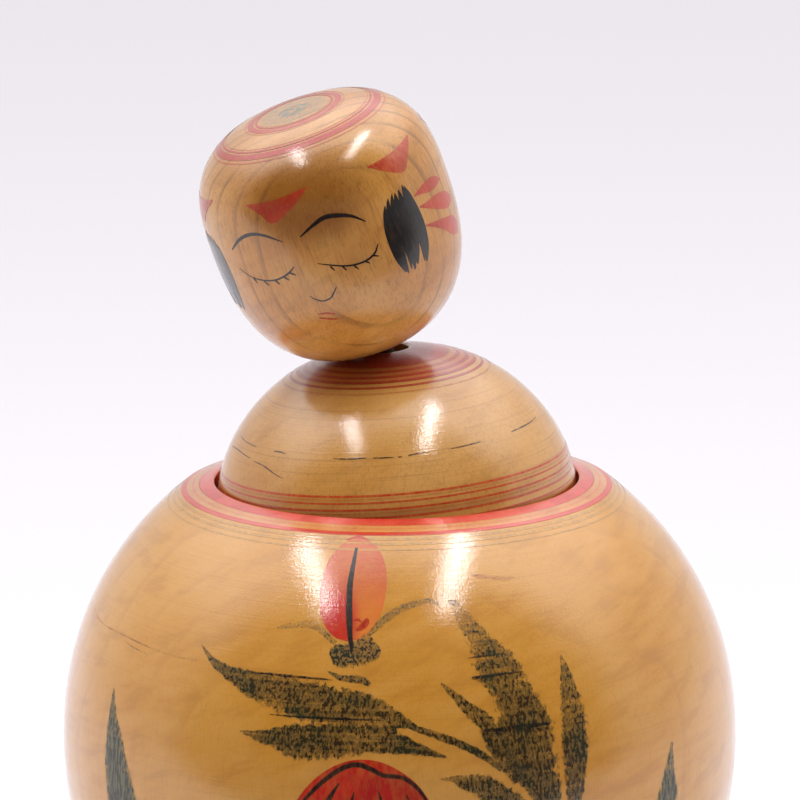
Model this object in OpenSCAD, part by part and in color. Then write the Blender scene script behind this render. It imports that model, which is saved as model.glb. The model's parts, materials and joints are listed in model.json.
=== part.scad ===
// Round kokeshi doll: a ball-shaped bowl with a turned foot, a domed lid that drops
// into its mouth, and a head that nods and turns on a peg held loosely in the lid.
// Millimetres. +Z up, +X to the doll's left, -Y towards the viewer it faces.
// Origin at the centre of the foot.

/* [Bowl] */
// Diameter of the ball at its widest
ball_d = 130; // [120:1:140]
// Half height of the full ball, before its foot is cut flat
ball_half_h = 62; // [60:0.5:63]
// Fullness of the ball: 2 is an ellipse, more is squarer
ball_fullness = 2.08; // [2:0.02:2.3]
// Diameter of the flat foot
foot_d = 72; // [60:1:80]
// Height of the line where the ball turns into the rim band
shoulder_z = 101.5; // [100:0.25:102.5]
// Height of the rim at the mouth
rim_z = 103.2; // [103:0.1:105]
// Diameter of the mouth, and of the seat turned below it
mouth_d = 69.8; // [69.8:0.1:72]
// Depth of the seat that the lid drops into
seat_depth = 6; // [6:0.1:7]
// Diameter of the neck below the seat
throat_d = 61; // [60:0.5:64]
// Diameter of the hollow at its widest
hollow_d = 115; // [100:1:116]
// Half height of the hollow
hollow_half_h = 45; // [42:0.5:47]

/* [Lid] */
// Diameter of the dome at its widest
lid_d = 68; // [64:0.5:68]
// Height of the dome above the edge
dome_h = 25.2; // [25:0.1:25.3]
// Fullness of the dome's side
dome_side = 2.37; // [2.2:0.01:2.4]
// Fullness of the dome's top
dome_top = 1.52; // [1.5:0.01:1.6]
// Height of the plain edge below the dome
edge_h = 3.5; // [2.5:0.1:3.5]
// Diameter of that edge below its flare
edge_d = 69; // [68:0.1:69]
// Height over which the edge flares out from the dome
flare_h = 1.5; // [1:0.1:2]
// Diameter of the spigot under the lid
spigot_d = 58; // [56:0.5:58.5]
// Length of the spigot
spigot_h = 6; // [4:0.5:8]
// Diameter of the hollow under the lid
lid_hollow_d = 50; // [44:1:51]
// Height of the ceiling of that hollow above the edge
ceiling_h = 17; // [17:0.1:17.5]
// Fullness of the hollow under the lid
lid_hollow_fullness = 2.2; // [2.2:0.05:2.6]
// Diameter of the loose hole for the neck peg
neck_hole_d = 9; // [9:0.1:12]
// How far the lid stands cocked in its seat, in degrees
lid_tilt = 3.7; // [0:0.1:3.7]
// How far the cocked lid has slid towards its low side
lid_shift = 0.3; // [0:0.05:0.3]

/* [Head] */
// Diameter of the head at its widest
head_d = 46.9; // [44:0.1:48]
// Height of the widest place above the chin
cheek_h = 29; // [28:0.5:30]
// Height of the crown above the widest place
crown_h = 19.6; // [18:0.2:21]
// Fullness of the rounded chin
chin_fullness = 2.6; // [2.4:0.05:2.6]
// Fullness of the head's upper side
crown_side = 3.1; // [2.6:0.1:3.4]
// Fullness of the head's flattened top
crown_top = 2.6; // [2.2:0.1:3]
// Depth of the flat turned under the chin
chin_flat = 0.5; // [0.5:0.1:0.8]
// How far the head leans sideways, in degrees from upright
lean_side = 18; // [0:0.5:18]
// How far the head leans forward, in degrees from upright
lean_front = 7.8; // [0:0.2:7.8]

/* [Neck] */
// Height of the nodding centre above the lid's edge
pivot_h = 20.5; // [20:0.1:20.5]
// Distance from the nodding centre to the chin
chin_reach = 6.1; // [6.1:0.1:7]
// Diameter of the neck peg
peg_d = 5.4; // [5:0.1:5.4]
// Length of the tenon inside the head
tenon_h = 14; // [10:0.5:18]
// Running clearance of the tenon in the head, on the radius
tenon_play = 0.06; // [0.02:0.01:0.1]
// Diameter of the pin that carries the stop button
pin_d = 4; // [3.5:0.1:4.2]
// Distance from the nodding centre down to the stop button
stop_reach = 6.9; // [6.9:0.1:7.4]
// Diameter of the stop button
stop_d = 14; // [13:0.5:14]
// Thickness of the stop button
stop_h = 3; // [2:0.5:4]

/* [Hidden] */
$fn = 96;
pale_wood = [0.83, 0.66, 0.42];
head_wood = [0.78, 0.58, 0.36];
dark_wood = [0.38, 0.22, 0.13];

// Height of the ball's middle that gives the foot its diameter
ball_z = ball_half_h * pow(1 - pow(foot_d / ball_d, ball_fullness), 1 / ball_fullness);
seat_z = rim_z - seat_depth;
throat_z = ball_z + hollow_half_h * pow(1 - pow(throat_d / hollow_d, ball_fullness), 1 / ball_fullness);
// Depth of the blind bore in the head beyond the end of its tenon
bore_spare = 0.2;
// How far a cutting tool runs past the face it cuts
past = 1;
// Points along each turned curve
curve_steps = 30;

// Point [radius, height] of a quarter curve, at an angle from its widest place to the axis
function quarter(r, h, side, top, a) = [r * pow(cos(a), 2 / side), h * pow(sin(a), 2 / top)];

// Angle at which a ball's curve reaches a height above or below its middle
function ball_angle(half_h, h) = sign(h) * asin(pow(abs(h) / half_h, ball_fullness / 2));

// Turned curve of a ball round the bowl's middle, from one angle to another
function ball_curve(r, half_h, a_from, a_to) = [
    for (i = [0:curve_steps])
        let (a = a_from + (a_to - a_from) * i / curve_steps)
        let (p = quarter(r, half_h, ball_fullness, ball_fullness, abs(a)))
        [p[0], ball_z + sign(a) * p[1]]
];

module bowl() {
    foot_a = ball_angle(ball_half_h, -ball_z);
    shoulder_a = ball_angle(ball_half_h, shoulder_z - ball_z);
    throat_a = ball_angle(hollow_half_h, throat_z - ball_z);
    color(pale_wood)
    rotate_extrude()
    polygon(concat(
        [[0, 0]],
        ball_curve(ball_d / 2, ball_half_h, foot_a, shoulder_a),
        [[mouth_d / 2, rim_z], [mouth_d / 2, seat_z], [throat_d / 2, seat_z]],
        ball_curve(hollow_d / 2, hollow_half_h, throat_a, -90)
    ));
}

// Puts a piece turned about its own axis where the cocked lid stands
module in_lid_place() {
    translate([-lid_shift, 0, rim_z])
    rotate([0, -lid_tilt, 0])
    children();
}

// Puts a piece whose nodding centre is at its origin where the head leans
module in_head_place() {
    translate([-lid_shift - pivot_h * sin(lid_tilt), 0, rim_z + pivot_h * cos(lid_tilt)])
    rotate([lean_front, -lean_side, 0])
    children();
}

module lid() {
    color(pale_wood)
    in_lid_place()
    difference() {
        rotate_extrude()
        polygon(concat(
            [for (i = [curve_steps:-1:0]) quarter(lid_d / 2, dome_h, dome_side, dome_top, 90 * i / curve_steps)],
            [[edge_d / 2, -flare_h], [edge_d / 2, -edge_h], [spigot_d / 2, -edge_h]],
            [[spigot_d / 2, -edge_h - spigot_h], [lid_hollow_d / 2, -edge_h - spigot_h]],
            [for (i = [0:curve_steps]) quarter(lid_hollow_d / 2, ceiling_h, lid_hollow_fullness, lid_hollow_fullness,
                90 * i / curve_steps)]
        ));
        cylinder(d = neck_hole_d, h = dome_h + past);
    }
}

// Turned dowel: pin below, shank through the lid, tenon in the head
module neck_peg() {
    color(dark_wood)
    in_head_place()
    rotate_extrude()
    polygon([
        [0, -stop_reach - stop_h], [pin_d / 2, -stop_reach - stop_h],
        [pin_d / 2, -stop_reach], [peg_d / 2, -stop_reach],
        [peg_d / 2, chin_reach + chin_flat + tenon_h], [0, chin_reach + chin_flat + tenon_h]
    ]);
}

module stop_button() {
    color(dark_wood)
    in_head_place()
    translate([0, 0, -stop_reach - stop_h])
    difference() {
        cylinder(d = stop_d, h = stop_h);
        translate([0, 0, -past]) cylinder(d = pin_d, h = stop_h + 2 * past);
    }
}

module head() {
    color(head_wood)
    in_head_place()
    difference() {
        translate([0, 0, chin_reach])
        intersection() {
            rotate_extrude()
            polygon(concat(
                [for (i = [curve_steps:-1:1])
                    let (p = quarter(head_d / 2, cheek_h, chin_fullness, chin_fullness, 90 * i / curve_steps))
                    [p[0], cheek_h - p[1]]],
                [for (i = [0:curve_steps])
                    let (p = quarter(head_d / 2, crown_h, crown_side, crown_top, 90 * i / curve_steps))
                    [p[0], cheek_h + p[1]]]
            ));
            translate([-head_d, -head_d, chin_flat]) cube([2 * head_d, 2 * head_d, cheek_h + crown_h]);
        }
        translate([0, 0, chin_reach - past])
        cylinder(r = peg_d / 2 + tenon_play, h = past + chin_flat + tenon_h + bore_spare);
    }
}

bowl();
lid();
neck_peg();
stop_button();
head();
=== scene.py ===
import json
import math
from bisect import bisect_right

import bpy
from mathutils import Matrix, Vector


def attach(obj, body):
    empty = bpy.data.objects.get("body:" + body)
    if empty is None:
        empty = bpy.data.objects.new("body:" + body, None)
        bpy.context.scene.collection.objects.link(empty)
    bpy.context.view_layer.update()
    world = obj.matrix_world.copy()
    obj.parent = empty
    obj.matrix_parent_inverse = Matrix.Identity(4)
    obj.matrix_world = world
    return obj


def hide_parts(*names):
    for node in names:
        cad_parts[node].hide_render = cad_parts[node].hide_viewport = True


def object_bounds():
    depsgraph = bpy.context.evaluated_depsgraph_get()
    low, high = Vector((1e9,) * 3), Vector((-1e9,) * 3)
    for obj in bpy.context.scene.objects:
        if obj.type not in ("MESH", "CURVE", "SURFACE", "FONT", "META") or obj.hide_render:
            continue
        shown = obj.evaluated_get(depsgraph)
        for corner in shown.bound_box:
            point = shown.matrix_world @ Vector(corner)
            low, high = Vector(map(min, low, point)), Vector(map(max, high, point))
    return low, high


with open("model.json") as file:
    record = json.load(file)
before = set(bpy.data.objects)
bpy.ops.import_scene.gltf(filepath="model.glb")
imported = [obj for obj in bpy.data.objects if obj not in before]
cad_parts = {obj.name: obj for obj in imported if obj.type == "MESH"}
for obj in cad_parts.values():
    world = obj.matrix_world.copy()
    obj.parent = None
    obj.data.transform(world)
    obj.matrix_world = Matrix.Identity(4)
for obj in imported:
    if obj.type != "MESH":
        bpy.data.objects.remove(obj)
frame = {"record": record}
cad_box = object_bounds()

MM = 0.001
TURN_STEPS = 240  # corners round a large turned part
LARGE_FACES_FIRST = 80  # how much more a large face sways the shading than a small one

# ---- sizes of the turned parts, mm

BALL_R = 65.0
BALL_HALF_H = 62.0
BALL_FULLNESS = 2.08
FOOT_R = 36.0
SHOULDER_Z = 101.5
RIM_Z = 103.2
MOUTH_R = 34.9
SEAT_DEPTH = 6.0
THROAT_R = 30.5
HOLLOW_R = 57.5
HOLLOW_HALF_H = 45.0

LID_R = 34.0
DOME_H = 25.2
DOME_SIDE = 2.37
DOME_TOP = 1.52
EDGE_H = 3.5
EDGE_R = 34.5
FLARE_H = 1.5
SPIGOT_R = 29.0
SPIGOT_H = 6.0
LID_HOLLOW_R = 25.0
CEILING_H = 17.0
LID_HOLLOW_FULLNESS = 2.2
NECK_HOLE_R = 4.5
LID_TILT = math.radians(3.7)
LID_SHIFT = 0.3

HEAD_R = 23.45
CHEEK_H = 29.0
CROWN_H = 19.6
CHIN_FULLNESS = 2.6
CROWN_SIDE = 3.1
CROWN_TOP = 2.6
CHIN_FLAT = 0.5
CHIN_REACH = 6.1
PEG_R = 2.7
TENON_H = 14.0
TENON_PLAY = 0.06
BORE_SPARE = 0.2
PIN_R = 2.0
STOP_REACH = 6.9
STOP_R = 7.0
STOP_H = 3.0

BALL_Z = BALL_HALF_H * (1 - (FOOT_R / BALL_R) ** BALL_FULLNESS) ** (1 / BALL_FULLNESS)


# ---- turned outlines

def quarter(r, h, side, top, share):
    """Point of a quarter curve, from its widest place (share 0) to the axis (share 1)."""
    a = share * math.pi / 2
    c = max(math.cos(a), 0.0)
    return (r * c ** (2 / side) if share < 1 else 0.0, h * math.sin(a) ** (2 / top))


def ball_share(half_h, h):
    """Share of a quarter turn at which a ball's curve stands h from its middle."""
    return math.asin((abs(h) / half_h) ** (BALL_FULLNESS / 2)) / (math.pi / 2)


def share_at(r, widest, side):
    """Share of a quarter turn at which a curve is r from the axis."""
    return math.asin((1 - (r / widest) ** side) ** 0.5) / (math.pi / 2)


def ball_curve(r, half_h, start, end, steps):
    """Points of a ball round the bowl's middle, from one signed share to another."""
    out = []
    for i in range(steps + 1):
        share = start + (end - start) * i / steps
        x, h = quarter(r, half_h, BALL_FULLNESS, BALL_FULLNESS, abs(share))
        out.append((x, BALL_Z + math.copysign(h, share)))
    return out


FOOT_SHARE = -ball_share(BALL_HALF_H, BALL_Z)
SHOULDER_SHARE = ball_share(BALL_HALF_H, SHOULDER_Z - BALL_Z)
OUTSIDE = ball_curve(BALL_R, BALL_HALF_H, FOOT_SHARE, SHOULDER_SHARE, 120)


def rounded(points, radii, steps=5):
    """The outline with an arc at each corner whose number is in radii; it is open."""
    out = []
    for i, p in enumerate(points):
        if i not in radii:
            out.append(p)
            continue
        here = Vector(p)
        back = Vector(points[i - 1]) - here
        on = Vector(points[(i + 1) % len(points)]) - here
        reach_back, reach_on = back.length, on.length
        back.normalize()
        on.normalize()
        half = math.acos(max(-1.0, min(1.0, back.dot(on)))) / 2
        reach = min(radii[i] / math.tan(half), reach_back * 0.49, reach_on * 0.49)
        a, b = here + back * reach, here + on * reach
        for k in range(steps + 1):
            t = k / steps
            out.append(tuple(a * (1 - t) ** 2 + here * 2 * t * (1 - t) + b * t ** 2))
    return out


def rim_outline():
    """From the shoulder over the rim and down the wall of the seat."""
    points = ball_curve(BALL_R, BALL_HALF_H, SHOULDER_SHARE * 0.9, SHOULDER_SHARE, 20)
    corner = len(points) - 1
    points += [(MOUTH_R, RIM_Z), (MOUTH_R, RIM_Z - SEAT_DEPTH + 0.4)]
    return rounded(points, {corner: 0.5, corner + 1: 0.5})


def bowl_outline():
    throat_h = HOLLOW_HALF_H * (1 - (THROAT_R / HOLLOW_R) ** BALL_FULLNESS) ** (1 / BALL_FULLNESS)
    throat = ball_share(HOLLOW_HALF_H, throat_h)
    inner = ball_curve(HOLLOW_R, HOLLOW_HALF_H, throat, -1, 80)
    seat = RIM_Z - SEAT_DEPTH
    points = [(0, 0), (FOOT_R * 0.9, 0)] + OUTSIDE
    shoulder_at = len(points) - 1
    points += [(MOUTH_R, RIM_Z), (MOUTH_R, seat), (THROAT_R, seat)]
    radii = {2: 1.2, shoulder_at: 0.5, shoulder_at + 1: 0.5, shoulder_at + 2: 0.3}
    radii[shoulder_at + 3] = 0.6
    return rounded(points + inner, radii)


def lid_outline():
    """From the neck hole's upper edge over the dome and back through the hollow."""
    top = share_at(NECK_HOLE_R, LID_R, DOME_SIDE)
    dome = [quarter(LID_R, DOME_H, DOME_SIDE, DOME_TOP, top * (1 - i / 90)) for i in range(91)]
    under = share_at(NECK_HOLE_R, LID_HOLLOW_R, LID_HOLLOW_FULLNESS)
    full = LID_HOLLOW_FULLNESS
    hollow = [quarter(LID_HOLLOW_R, CEILING_H, full, full, under * i / 40) for i in range(41)]
    edge = len(dome) - 1
    points = dome + [(EDGE_R, -FLARE_H), (EDGE_R, -EDGE_H), (SPIGOT_R, -EDGE_H)]
    points += [(SPIGOT_R, -EDGE_H - SPIGOT_H), (LID_HOLLOW_R, -EDGE_H - SPIGOT_H)] + hollow
    radii = {0: 0.5, edge + 1: 0.8, edge + 2: 0.6, edge + 3: 0.3, edge + 4: 0.8, edge + 5: 0.8}
    radii[len(points) - 1] = 0.4
    return rounded(points, radii)


def head_curve():
    """Outer curve of the head from under the chin to the crown, above the chin's pole."""
    flat = math.asin((1 - CHIN_FLAT / CHEEK_H) ** (CHIN_FULLNESS / 2)) / (math.pi / 2)
    full = CHIN_FULLNESS
    low = [quarter(HEAD_R, CHEEK_H, full, full, flat * (1 - i / 80)) for i in range(80)]
    high = [quarter(HEAD_R, CROWN_H, CROWN_SIDE, CROWN_TOP, i / 90) for i in range(91)]
    return [(r, CHEEK_H - h) for r, h in low] + [(r, CHEEK_H + h) for r, h in high]


def head_outline():
    bore_r = PEG_R + TENON_PLAY
    bore_top = CHIN_REACH + CHIN_FLAT + TENON_H + BORE_SPARE
    chin = CHIN_REACH + CHIN_FLAT
    points = [(0, bore_top), (bore_r, bore_top), (bore_r, chin)]
    points += [(r, z + CHIN_REACH) for r, z in head_curve()]
    return rounded(points, {2: 0.4, 3: 0.5})


def peg_outline():
    foot = -STOP_REACH - STOP_H
    tip = CHIN_REACH + CHIN_FLAT + TENON_H
    points = [(0, foot), (PIN_R, foot), (PIN_R, -STOP_REACH), (PEG_R, -STOP_REACH)]
    points += [(PEG_R, tip), (0, tip)]
    return rounded(points, {1: 0.5, 2: 0.15, 3: 0.4, 4: 0.6})


def button_outline():
    low, high = -STOP_REACH - STOP_H, -STOP_REACH
    points = [(PIN_R, low), (STOP_R, low), (STOP_R, high), (PIN_R, high)]
    return rounded(points, {0: 0.3, 1: 0.8, 2: 0.8, 3: 0.3})


# ---- where the parts stand

def joint(name):
    return next(j for j in frame["record"]["behaviour"]["joints"] if j["name"] == name)


def head_place():
    """Frame of the head and peg: origin at the nodding centre, z along the head's axis."""
    pivot = Vector(joint("neck_nod")["pos_m"])
    x, y, z = joint("head_turn")["axis"]
    lean_front = math.asin(-y)
    lean_side = math.atan2(-x, z)
    turn = Matrix.Rotation(-lean_side, 4, "Y") @ Matrix.Rotation(lean_front, 4, "X")
    return Matrix.Translation(pivot) @ turn


def lid_place():
    """Frame of the lid: origin in the middle of its edge's upper plane."""
    at = Vector((-LID_SHIFT, 0, RIM_Z)) * MM
    return Matrix.Translation(at) @ Matrix.Rotation(-LID_TILT, 4, "Y")


PLACES = {"bowl": Matrix.Identity(4), "lid": lid_place(), "head": head_place()}
BODIES = {"bowl": "container", "lid": "lid", "head": "head"}


# ---- mesh makers

def link(name, data):
    """An object of this data in the scene."""
    obj = bpy.data.objects.new(name, data)
    bpy.context.scene.collection.objects.link(obj)
    return obj


def add_object(name, verts, faces, place, material, body):
    """A piece at the frame's origin, its points in mm in the frame called place."""
    mesh = bpy.data.meshes.new(name)
    mesh.from_pydata([place @ (Vector(v) * MM) for v in verts], [], faces)
    mesh.shade_smooth()
    mesh.materials.append(material)
    obj = link(name, mesh)
    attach(obj, body)
    return obj


def lathe(name, outline, place, material, body, steps=TURN_STEPS, ring=False):
    """Turned solid. The outline runs from axis to axis, or closes on itself for a ring."""
    verts, rows, faces = [], [], []
    for r, z in outline:
        if r < 1e-6:
            rows.append([len(verts)] * steps)
            verts.append((0, 0, z))
            continue
        rows.append(list(range(len(verts), len(verts) + steps)))
        for k in range(steps):
            a = 2 * math.pi * k / steps
            verts.append((r * math.sin(a), -r * math.cos(a), z))
    pairs = list(zip(rows, rows[1:]))
    if ring:
        pairs.append((rows[-1], rows[0]))
    for low, high in pairs:
        for k in range(steps):
            n = (k + 1) % steps
            corners = [low[k], low[n], high[n], high[k]]
            face = [c for i, c in enumerate(corners) if c != corners[i - 1]]
            if len(face) > 2:
                faces.append(face)
    obj = add_object(name, verts, faces, place, material, body)
    obj.data.validate()
    obj.modifiers.new("even shading", "WEIGHTED_NORMAL").weight = LARGE_FACES_FIRST
    return obj


class Skin:
    """A turned surface to paint on. Places are (azimuth in degrees, length along the outline)."""

    def __init__(self, part, outline, base=0.0):
        """Heights are given above base in the part's own frame."""
        self.part = part
        self.points = outline
        self.base = base
        self.along = [0.0]
        for a, b in zip(outline, outline[1:]):
            self.along.append(self.along[-1] + math.dist(a, b))

    def outline_at(self, length):
        """Radius and height at a length along the outline, and its direction there."""
        length = max(0.0, min(length, self.along[-1] - 1e-6))
        low = bisect_right(self.along, length) - 1
        share = (length - self.along[low]) / (self.along[low + 1] - self.along[low])
        (ra, za), (rb, zb) = self.points[low:low + 2]
        return ra + (rb - ra) * share, za + (zb - za) * share, (rb - ra, zb - za)

    def length_at(self, height=None, radius=None):
        """Length along the outline where it reaches a height, or the last place of a radius."""
        for i in range(len(self.points) - 1, 0, -1):
            (ra, za), (rb, zb) = self.points[i - 1], self.points[i]
            a, b, want = (za, zb, height + self.base) if radius is None else (ra, rb, radius)
            if min(a, b) <= want <= max(a, b) and a != b:
                return self.along[i - 1] + (want - a) / (b - a) * (self.along[i] - self.along[i - 1])
        return self.along[-1]

    def point(self, azimuth, length, out):
        """Point out mm above the surface, and the outward normal there."""
        r, z, (dr, dz) = self.outline_at(length)
        a = math.radians(azimuth)
        size = math.hypot(dr, dz)
        nr, nz = dz / size, -dr / size
        normal = Vector((nr * math.sin(a), -nr * math.cos(a), nz))
        return Vector((r * math.sin(a), -r * math.cos(a), z)) + normal * out, normal


PAINT_LIFT = 0.03  # mm that a film stands proud
PAINT_SINK = 0.12  # mm that it reaches into the wood
LAYER = 0.004
LAYERS = 12
THINNEST = 0.02  # mm, least half width of a stroke


def facing_out(skin, rows):
    """The rows of a patch, turned round if their faces would look into the wood."""
    i, k = len(rows) // 2 - 1, len(rows[0]) // 2 - 1
    here, normal = skin.point(*rows[i][k], 0.0)
    next_k, _ = skin.point(*rows[i][k + 1], 0.0)
    next_i, _ = skin.point(*rows[i + 1][k], 0.0)
    if (next_k - here).cross(next_i - here).dot(normal) < 0:
        return [row[::-1] for row in rows]
    return rows


def film(name, skin, patches, paint, step=0):
    """Closed thin films of paint lying on a turned surface, as one piece.

    Each patch is a grid of rows of (azimuth, length) places. The films lie one above another,
    the first of them this many steps up."""
    verts, faces, normals, across, along = [], [], [], [], []
    for layer, rows in enumerate(patches):
        rows = facing_out(skin, rows)
        lift = PAINT_LIFT + LAYER * (layer % LAYERS + step)
        count, width = len(rows), len(rows[0])
        base = len(verts)
        for out in (lift, -PAINT_SINK):
            for i, row in enumerate(rows):
                for k, (azimuth, length) in enumerate(row):
                    at, normal = skin.point(azimuth, length, out)
                    verts.append(at)
                    normals.append(normal)
                    across.append(2 * k / (width - 1) - 1)
                    along.append(i / (count - 1))
        size = count * width
        for i in range(count - 1):
            for k in range(width - 1):
                a = base + i * width + k
                b, c, d = a + 1, a + width + 1, a + width
                faces.append((a, b, c, d))
                faces.append((d + size, c + size, b + size, a + size))
        rim = list(range(width))
        rim += [i * width + width - 1 for i in range(1, count)]
        rim += [(count - 1) * width + k for k in range(width - 2, -1, -1)]
        rim += [i * width for i in range(count - 2, 0, -1)]
        for a, b in zip(rim, rim[1:] + rim[:1]):
            faces.append((base + b, base + a, base + size + a, base + size + b))
    place = PLACES[skin.part]
    obj = add_object(name, verts, faces, place, paints[paint], BODIES[skin.part])
    mesh = obj.data
    turn = place.to_3x3()
    for label, values in (("across", across), ("along", along)):
        mesh.attributes.new(label, "FLOAT", "POINT").data.foreach_set("value", values)
    mesh.normals_split_custom_set_from_vertices([turn @ n for n in normals])
    return obj


def smooth_line(knots, steps):
    """Catmull-Rom line of any number of values through the knots."""
    ends = [knots[0]] + list(knots) + [knots[-1]]
    out = []
    spans = len(knots) - 1
    for i in range(steps + 1):
        t = i / steps * spans
        k = min(int(t), spans - 1)
        t -= k
        a, b, c, d = ends[k:k + 4]
        out.append(tuple(
            0.5 * (2 * q + (s - p) * t + (2 * p - 5 * q + 4 * s - w) * t ** 2
                   + (3 * q - p - 3 * s + w) * t ** 3)
            for p, q, s, w in zip(a, b, c, d)
        ))
    return out


def stroke(skin, knots, steps, width):
    """Grid of a brush stroke. Knots are (azimuth, height, half width in mm)."""
    line = []
    for azimuth, height, half in smooth_line(knots, steps):
        line.append((azimuth, skin.length_at(height=height), max(half, THINNEST)))
    rows = []
    for i, (azimuth, length, half) in enumerate(line):
        r = max(skin.outline_at(length)[0], 0.5)
        before, after = line[max(i - 1, 0)], line[min(i + 1, steps)]
        du = math.radians(after[0] - before[0]) * r
        dv = after[1] - before[1]
        size = math.hypot(du, dv) or 1.0
        row = []
        for k in range(width + 1):
            off = half * (2 * k / width - 1)
            row.append((azimuth + math.degrees(-dv / size * off / r), length + du / size * off))
        rows.append(row[::-1])
    return rows


def field(skin, low, high, steps, width):
    """Grid between two lines of (azimuth, height), each run from left to right."""
    a = [(u, skin.length_at(height=h)) for u, h in smooth_line(low, steps)]
    b = [(u, skin.length_at(height=h)) for u, h in smooth_line(high, steps)]
    rows = []
    for (ua, la), (ub, lb) in zip(a, b):
        rows.append([(ub + (ua - ub) * k / width, lb + (la - lb) * k / width)
                     for k in range(width + 1)])
    return rows


def ring(start, end, width, steps):
    """Grid of a painted ring between two lengths along the outline, closed on itself."""
    return [[(360 * i / steps, end + (start - end) * k / width) for k in range(width + 1)]
            for i in range(steps + 1)]


def bands(skin, by, pairs, width=6, steps=200):
    """Painted rings, each between two heights or two radii of a turned surface."""
    return [ring(*(skin.length_at(**{by: end}) for end in pair), width, steps) for pair in pairs]


# ---- material helpers

def tint(r, g, b):
    """A colour given as it looks on a screen, as the shader's linear numbers."""
    def line(c):
        c /= 255
        return c / 12.92 if c <= 0.04045 else ((c + 0.055) / 1.055) ** 2.4
    return (line(r), line(g), line(b), 1.0)


RELIEF = 0.00003  # m, depth of the surface grain
SPECULAR = 0.2
COAT_IOR = 1.62


class Nodes:
    """Makes nodes in a material or world, and joins them."""

    def __init__(self, owner):
        owner.use_nodes = True
        self.nodes = owner.node_tree.nodes
        self.links = owner.node_tree.links
        self.nodes.clear()

    def put(self, socket, value):
        if isinstance(value, bpy.types.NodeSocket):
            self.links.new(value, socket)
        else:
            socket.default_value = value

    def math(self, operation, a, b=0.0, clamp=False):
        node = self.nodes.new("ShaderNodeMath")
        node.operation = operation
        node.use_clamp = clamp
        self.put(node.inputs[0], a)
        self.put(node.inputs[1], b)
        return node.outputs[0]

    def add(self, *values):
        total = values[0]
        for value in values[1:]:
            total = self.math("ADD", total, value)
        return total

    def minus(self, a, b):
        return self.math("SUBTRACT", a, b)

    def times(self, a, b):
        return self.math("MULTIPLY", a, b)

    def vector(self, operation, a, b=(0.0, 0.0, 0.0), output=0):
        node = self.nodes.new("ShaderNodeVectorMath")
        node.operation = operation
        self.put(node.inputs[0], a)
        self.put(node.inputs[1], b)
        return node.outputs[output]

    def split(self, vector):
        node = self.nodes.new("ShaderNodeSeparateXYZ")
        self.put(node.inputs[0], vector)
        return node.outputs[0], node.outputs[1], node.outputs[2]

    def join(self, x, y, z):
        node = self.nodes.new("ShaderNodeCombineXYZ")
        for socket, value in zip(node.inputs, (x, y, z)):
            self.put(socket, value)
        return node.outputs[0]

    def span(self, value, low, high, to_low=0.0, to_high=1.0):
        """Smooth step of a value from one range to another."""
        node = self.nodes.new("ShaderNodeMapRange")
        node.interpolation_type = "SMOOTHSTEP"
        for socket, number in zip(node.inputs[:5], (value, low, high, to_low, to_high)):
            self.put(socket, number)
        return node.outputs[0]

    def mix(self, factor, a, b):
        """Mix of two colours, each a node's or given as it looks on a screen."""
        node = self.nodes.new("ShaderNodeMix")
        node.data_type = "RGBA"
        self.put(node.inputs[0], factor)
        for socket, value in zip(node.inputs[6:8], (a, b)):
            self.put(socket, tint(*value) if isinstance(value, tuple) else value)
        return node.outputs[2]


class Graph(Nodes):
    """One material's nodes. Places are in the part's own frame, in mm."""

    def __init__(self, name, part):
        self.material = bpy.data.materials.new(name)
        super().__init__(self.material)
        out = self.nodes.new("ShaderNodeOutputMaterial")
        self.shader = self.nodes.new("ShaderNodeBsdfPrincipled")
        self.put(out.inputs["Surface"], self.shader.outputs[0])
        here = self.nodes.new("ShaderNodeTexCoord")
        back = self.nodes.new("ShaderNodeMapping")
        back.vector_type = "TEXTURE"
        place = PLACES[part]
        back.inputs["Location"].default_value = place.translation
        back.inputs["Rotation"].default_value = place.to_euler()
        back.inputs["Scale"].default_value = (MM, MM, MM)
        self.put(back.inputs["Vector"], here.outputs["Object"])
        self.at = back.outputs[0]
        self.x, self.y, self.z = self.split(self.at)

    def noise(self, stretch, detail=2.0, rough=0.5, shift=0.0, at=None):
        """Noise of the place, stretched by one number or by one for each direction."""
        node = self.nodes.new("ShaderNodeTexNoise")
        at = self.at if at is None else at
        if shift:
            at = self.vector("ADD", at, (shift, shift * 0.7, shift * 1.3))
        if not isinstance(stretch, tuple):
            stretch = (stretch, stretch, stretch)
        self.put(node.inputs["Vector"], self.vector("MULTIPLY", at, stretch))
        for name, value in (("Scale", 1.0), ("Detail", detail), ("Roughness", rough)):
            node.inputs[name].default_value = value
        return node.outputs[0]

    def attribute(self, name):
        node = self.nodes.new("ShaderNodeAttribute")
        node.attribute_name = name
        return node.outputs["Fac"]

    def away_from(self, x, z, squeeze=1.0):
        """Distance from a place seen square on from the front."""
        dx = self.minus(self.x, x)
        dz = self.times(self.minus(self.z, z), squeeze)
        return self.vector("LENGTH", self.join(dx, 0.0, dz), output=1)

    def finish(self, colour, rough, height, depth=RELIEF, coat=1.0, coat_rough=0.08):
        bump = self.nodes.new("ShaderNodeBump")
        bump.inputs["Distance"].default_value = depth
        self.put(bump.inputs["Height"], height)
        for name, value in (("Base Color", colour), ("Roughness", rough), ("Normal", bump.outputs[0]),
                            ("IOR", 1.5), ("Specular IOR Level", SPECULAR), ("Coat Weight", coat),
                            ("Coat Roughness", coat_rough), ("Coat IOR", COAT_IOR),
                            ("Coat Normal", bump.outputs[0])):
            self.put(self.shader.inputs[name], value)
        return self.material


# ---- colours of the paints

RED = (168, 34, 22)
RED_LIGHT = (190, 58, 38)
BLACK = (26, 21, 20)
BROWN_BLACK = (38, 26, 22)
OLIVE_WASH = (120, 96, 46)
OLIVE_FLECK = (54, 38, 6)
TEAL_WASH = (112, 112, 80)
TEAL_FLECK = (36, 46, 24)

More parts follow.
